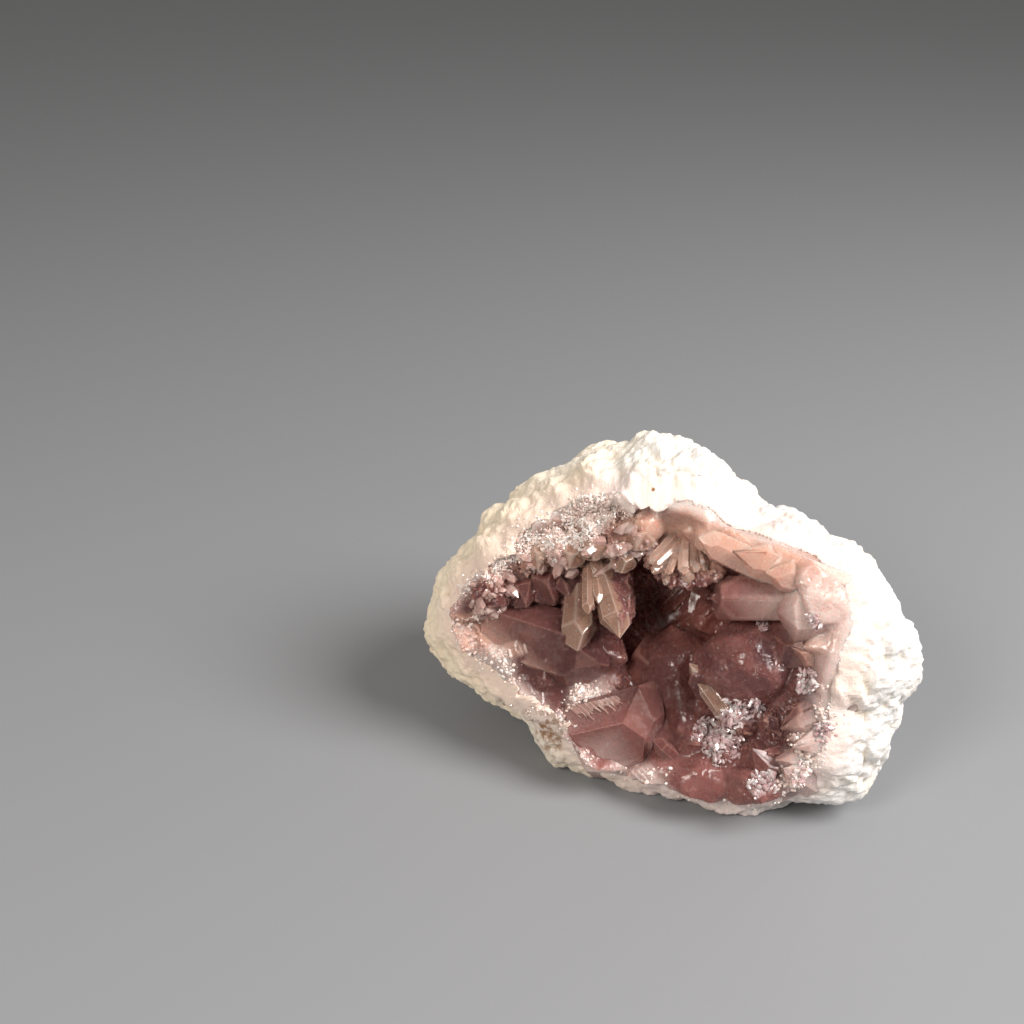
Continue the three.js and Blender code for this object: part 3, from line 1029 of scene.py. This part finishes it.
bm = bmesh.new()
for foot, tip, radius, flat, slope, roll in MILKY_CRYSTALS:
    edge = FINE_EDGE if radius < THICK else ETCHED_EDGE
    quartz_point(bm, foot, tip, radius, flat, slope, roll, edge=edge)
quartz_point(bm, (-10, -28, -9), (-8, -10, 0), 9.5, 0.9, 30, 30, cuts=STUB_CUTS, edge=BROKEN_EDGE)
quartz_point(bm, (23, 7.5, -7), (2.0, 4.4, -2.4), 4.2, 0.9, 26, 8, cuts=BLOCK_CUTS, edge=BROKEN_EDGE)
sharp = finish_piece(bm, "sharp_crystals", ridged_milky)
FURTHER = 1.3  # they count as further from the rind than they are, which keeps them pinker
zone_values(sharp, [FURTHER * d for d in distances_to(rind_tree, sharp)])

# %% [markdown]
# ## The pale crystals at the right
#
# Close to the rind the quartz is nearly white and hardly clear: a mass at the right, a wedge under it,
# and thin layers under the roof. Long flat crystals laid along the rim make them all. Thin bent sheets
# could make the layers too, but they look like paper, not like stone.

# %% Pale crystals close to the rind
PALE_CRYSTALS = [
    # foot, tip, radius, flat, slope, roll, edge
    ((27, 7.0, -6), (15.6, 4.6, -1.2), 5.0, 0.6, 34, 30, 0.9),  # the pale mass at the right
    ((27, -2.5, -6), (18.4, -0.6, -2.4), 3.2, 0.6, 50, 30, 0.4),  # a peach wedge under it
    ((19, 8.6, -4.5), (1.6, 14.6, -0.6), 2.6, 0.35, 56, 10, 0.25),  # thin layers under the roof
    ((24, 9.5, -5.0), (7.6, 13.4, 0.0), 3.0, 0.35, 60, 40, 0.25),
    ((25.5, 9.6, -4.6), (13.0, 11.0, 0.2), 2.6, 0.35, 56, 20, 0.25),
]
bm = bmesh.new()
for *crystal, edge in PALE_CRYSTALS:
    quartz_point(bm, *crystal, edge=edge)
zone_values(finish_piece(bm, "pale_crystals", pale_milky))

# %% [markdown]
# ## Clear points
#
# Two single points hang free at the upper left, with thin blades between them and a chunky group over
# them, all clearer than the crust. Their own colour is a warm tan, and their edges are painted lighter
# as a highlight. Two thirds of the light pass, so they show both their faces and the dark behind them.
# All glass would hide the faces.

# %% Clear points and blades
CLEAR_CRYSTALS = [
    # foot, tip, radius, flat, slope, roll, taper
    ((-18.2, 2, -7), (-15.4, -7.4, 0.4), 3.4, 0.7, 56, 0, 0.8),  # a short pale point
    ((-16.0, 8, -6), (-8.4, -3.6, 1.2), 2.9, 0.75, 60, 30, 0.6),  # a long clear one
    ((-17.2, 7.5, -6), (-14.2, -0.6, 1.0), 1.2, 0.6, 60, 0, 0.9),  # blades between them
    ((-16.2, 7.5, -6), (-13.0, 1.2, 0.2), 1.0, 0.6, 60, 30, 0.9),
    ((-26.5, 12, -8), (-24.5, 4.6, -1.6), 3.0, 0.9, 44, 0, 0.8),  # a chunky group
    ((-20, 14, -8), (-19.0, 5.8, -1.2), 2.6, 0.9, 46, 17, 0.8),
    ((-16, 15, -9), (-15.0, 7.8, -0.8), 3.2, 0.9, 46, 34, 0.8),
    ((-11.5, 15, -9), (-10.2, 6.5, -1.4), 2.4, 0.9, 52, 5, 0.8),
    ((-9, 19, -9), (-8.2, 10.6, -0.6), 3.0, 0.9, 46, 22, 0.8),
    ((12.0, -16, -5), (2.4, -6.6, -3.8), 1.7, 0.7, 62, 30, 0.9),  # a blade beside the column
    ((9.6, -15.5, -5), (4.6, -9.4, -3.2), 1.1, 0.7, 60, 0, 0.9),
]

bm = bmesh.new()
for crystal in CLEAR_CRYSTALS:
    quartz_point(bm, *crystal)

TAN = (0.64, 0.39, 0.29)
BROWN_CLOUD = (0.50, 0.27, 0.20)
PALE_FLECK = (0.92, 0.80, 0.72)
EDGE_HIGHLIGHT = (1.0, 0.80, 0.68)

clear = Finish("clear quartz", TAN)
clear.layer(clear.clouds(Scale=350.0, Detail=4.0, Bend=0.8, Low=0.5, High=0.7), BROWN_CLOUD)
clear.layer(clear.clouds(Scale=1600.0, Detail=2.0, Low=0.68, High=0.74), PALE_FLECK)
# painted highlight along the edges
clear.zone_layer("edge", 0.75, EDGE_HIGHLIGHT)
clear.rough(clear.clouds(Scale=900.0), 0.0, 0.07)
set_inputs(clear.shader, IOR=QUARTZ_IOR, Specular_IOR_Level=0.5, Transmission_Weight=0.68)
absorb(clear, (0.92, 0.70, 0.62), 40.0)
clear_quartz = clear.done(Coarse=500.0, Fine=2000.0, Strength=0.15, Height=0.0001)
finish_piece(bm, "clear_points", clear_quartz)

# %% [markdown]
# ## Finishes of the small crystals
#
# Small crystals look lighter than big ones, because the light's way through them is short. One recipe
# does for all: two sizes of cloud, a little roughness, and strong reflections so that each grain can
# glint. Only the colours and the clearness differ.

# %% Sugar finishes
def sugar_finish(name, colour, cloud_colour, glass):
    """Glass is the share of light that passes."""
    frost = Finish(name, colour)
    frost.layer(frost.clouds(Scale=300.0, Low=0.42, High=0.62), cloud_colour)
    frost.layer(frost.clouds(Scale=1300.0, Detail=0.0, Low=0.45, High=0.60), cloud_colour)
    frost.rough(frost.clouds(Scale=1200.0), 0.02, 0.16)
    set_inputs(frost.shader, IOR=QUARTZ_IOR, Specular_IOR_Level=1.0, Transmission_Weight=glass)
    return frost.done(Coarse=900.0, Fine=3000.0, Strength=0.2, Height=0.0001)


glittering = sugar_finish("glittering quartz", (0.98, 0.91, 0.90), (0.74, 0.52, 0.52), 0.55)
frosted = sugar_finish("white sugar", (0.98, 0.91, 0.87), (0.88, 0.70, 0.63), 0.3)
chunky = sugar_finish("chunky pink quartz", (0.95, 0.74, 0.67), (0.76, 0.49, 0.43), 0.6)
bright = sugar_finish("bright fan quartz", (0.98, 0.80, 0.70), (0.90, 0.62, 0.50), 0.8)

# %% [markdown]
# ## The fan
#
# Under the roof thin crystals spread from one root. One after the other they are turned about it, each a
# little longer or shorter and nearer or further than its neighbour. An array would be even as a comb.

# %% Fan of thin crystals
FAN_FOOT = Vector((-1.6, 15, -9))
FAN_REACH = 9
FAN_RODS = 36
FAN_START = -128  # degrees, the way the first rod points
FAN_SPREAD = 78

bm = bmesh.new()
rng = random.Random(4)
for rod in range(FAN_RODS):
    share = (rod + rng.uniform(-0.3, 0.3)) / (FAN_RODS - 1)
    turn = math.radians(FAN_START + FAN_SPREAD * share)
    reach = FAN_REACH * rng.uniform(0.75, 1.02)
    foot = FAN_FOOT + Vector((rng.uniform(-1.5, 1.5), 0, 0))
    tip = FAN_FOOT + Vector((reach * math.cos(turn), reach * math.sin(turn), rng.uniform(5.0, 9.5)))
    quartz_point(bm, tuple(foot), tuple(tip), rng.uniform(0.5, 1.1), 0.8, 50, rng.uniform(0, 60))
finish_piece(bm, "fan", bright)

# %% [markdown]
# ## Bright ridges on the stub
#
# Each ridge on the stub's top catches the light as a bright line that slants down to the right. A bump
# would only shade them, so they are real: thin crystals that lie side by side on the top.

# %% Ridges
RIDGES = 34
RIDGE_LEVEL = -0.3  # the top itself lies at -0.4, so the ridges stand a little proud
RIDGE_SLANT = -0.38


def over_stub_top(u, v):
    (top_u, top_v, _), (lean_u, lean_v, lean_w) = STUB_TOP
    return (u, v, RIDGE_LEVEL - (lean_u * (u - top_u) + lean_v * (v - top_v)) / lean_w)


bm = bmesh.new()
rng = random.Random(9)
for ridge_number in range(RIDGES):
    share = ridge_number / (RIDGES - 1)
    u = -16.2 + 7.6 * share + rng.uniform(-0.1, 0.1)
    v = -17.4 + 3.5 * share
    long = (3.8 - 1.6 * share) * rng.uniform(0.45, 1.1)
    ends = (over_stub_top(u, v), over_stub_top(u + long, v + RIDGE_SLANT * long))
    quartz_point(bm, *ends, rng.uniform(0.06, 0.15), 1, 60, 0)
finish_piece(bm, "stub_ridges", chunky)

# %% [markdown]
# ## Sugar of small crystals
#
# Between the big crystals and along the rim the quartz ends in a crust of tiny points, which glitter.
# They are too small for solids of their own. Each is a six-sided column with a pyramid on it, copied
# thousands of times onto the surface, leaning a little from it. A particle system could strew them too,
# but a loop says more plainly where they lie thick, and it makes one mesh.

# %% One tiny point
def tiny_point():
    """A closed crystal of radius 1 that reaches a little below its foot."""
    one = bmesh.new()
    bmesh.ops.create_cone(
        one, cap_ends=True, segments=6, radius1=1, radius2=0.85, depth=1.5,
        matrix=Matrix.Translation((0, 0, 0.25)),
    )
    top = max(one.faces, key=lambda f: f.calc_center_median().z)
    middle = bmesh.ops.poke(one, faces=[top])["verts"][0]
    middle.co += Vector((0.15, 0.1, 0.8))
    mesh = bpy.data.meshes.new("tiny point")
    one.to_mesh(mesh)
    one.free()
    return mesh


TINY = tiny_point()
print("a tiny point:", len(TINY.polygons), "faces")


# %% Scatter small points
FACING = -0.1  # faces that look further away from the mouth's way out take no crystals


def weighted_faces(mesh, density, zone):
    """Faces that can take a crystal, and their area added up to each one."""
    values = [v.value for v in mesh.attributes[zone].data] if zone else None
    faces = []
    areas = []
    total = 0.0
    for face in mesh.polygons:
        share = density(from_mouth(face.center)) if face.normal.dot(OUT) > FACING else 0.0
        if values:
            share *= values[face.vertices[0]]
        if share > 0:
            total += share * face.area
            faces.append(face)
            areas.append(total)
    return faces, areas


def scatter(name, surface, count, density, sizes, seed, finish, zone="", stretch=(0.6, 1.5), tilt=0.6):
    """Small crystals on a surface, thick where the density and its zone are near 1."""
    rng = random.Random(seed)
    faces, areas = weighted_faces(surface.data, density, zone)
    bm = bmesh.new()
    for _ in range(count):
        face = faces[bisect.bisect_left(areas, rng.uniform(0, areas[-1]))]
        wander = Vector([rng.uniform(-tilt, tilt) for _ in range(3)])
        turned = (face.normal + wander).to_track_quat("Z", "Y")
        turned = turned @ Quaternion((0, 0, 1), rng.uniform(0, math.pi))
        size = (sizes[0] + (sizes[1] - sizes[0]) * rng.random() ** 2) * MM
        scale = Matrix.Diagonal((size, size * rng.uniform(0.6, 1), size * rng.uniform(*stretch), 1))
        copy = TINY.copy()
        copy.transform(Matrix.Translation(face.center) @ turned.to_matrix().to_4x4() @ scale)
        bm.from_mesh(copy)
        bpy.data.meshes.remove(copy)
    finish_piece(bm, name, finish)


# %% [markdown]
# ## Where the small crystals lie
#
# Glitter lies on the masses at the lower right, and white sugar and chunkier grains fill the upper left.
# The finest specks are everywhere, and the rim is crusted all round but for the smooth upper right.
# Each place is a spot with a radius, easier to move than a painted one.

# %% Places of the small crystals
# u, v and radius of the places where they lie thick
GLITTER = [
    (9.7, -19.0, 3.6), (6.5, -17.8, 2.2), (10.4, -13.2, 3.0), (13.5, -12.0, 2.2),
    (21.9, -5.3, 2.2), (17.5, -22.5, 2.6), (13.2, 1.8, 1.2), (21.0, 4.5, 2.0),
    (26.0, -13.5, 2.6), (22.5, -20.0, 2.0),
]
SUGAR = [
    (-29, 7.0, 2.4), (-26, 8.3, 2.6), (-22.5, 9.6, 2.8), (-19, 10.6, 2.6), (-16.5, 11.3, 2.2),
    (-20, 14.0, 2.2), (-17, 15.6, 2.4), (-14, 16.6, 2.4), (-11, 17.2, 2.2), (-32, 3.5, 2.6),
    (-10, 10.5, 1.6), (-33, -5, 2.0),
]
CHUNKS = [
    (-14, 8, 4.5), (-20, 7, 3.5), (-32, 1, 3.5), (-9, 12, 3.5), (-33, -4, 3.0), (-26, 5, 3.0),
]


def thick_on(spots, deepest):
    """A density that is 1 on the spots, and 0 beyond them and further in than the deepest w."""

    def density(place):
        if place.z < deepest:
            return 0.0
        return max(near(place, *spot, core=0.5) for spot in spots)

    return density


def everywhere(place):
    """All over the hollow but for its depth."""
    return smoothstep(-12, -4, place.z)


def rim_density(place):
    """All round but for the upper right, where the rim is smooth."""
    if place.z < -6:
        return 0.0
    thick = 1 - toward(45, 80, place)
    return thick * (0.1 + 0.9 * smoothstep(-0.1, 0.3, noise.noise(Vector(place) / 5)))


# %% Strew the small crystals
on_chunks = thick_on(CHUNKS, -8)
on_glitter = thick_on(GLITTER, -9)
on_sugar = thick_on(SUGAR, -7)

scatter("chunks", crust, 260, on_chunks, (0.35, 1.3), 15, chunky, stretch=(0.6, 1.3), tilt=0.9)
scatter("gems", crust, 50, on_glitter, (0.3, 0.9), 16, glittering, stretch=(0.5, 1.1), tilt=0.8)
scatter("glitter", crust, 1400, on_glitter, (0.12, 0.5), 11, glittering, stretch=(0.8, 1.8), tilt=0.9)
scatter("sugar", crust, 4400, on_sugar, (0.08, 0.3), 12, frosted, tilt=0.9)
scatter("specks", crust, 1500, everywhere, (0.05, 0.12), 17, glittering, stretch=(0.5, 1.2))
scatter("rim_sugar", rind, 1500, rim_density, (0.1, 0.35), 13, frosted, "rim", stretch=(0.2, 0.6))
scatter("rim_points", crust, 2400, rim_density, (0.1, 0.4), 14, frosted, "pale", stretch=(0.4, 1.0))
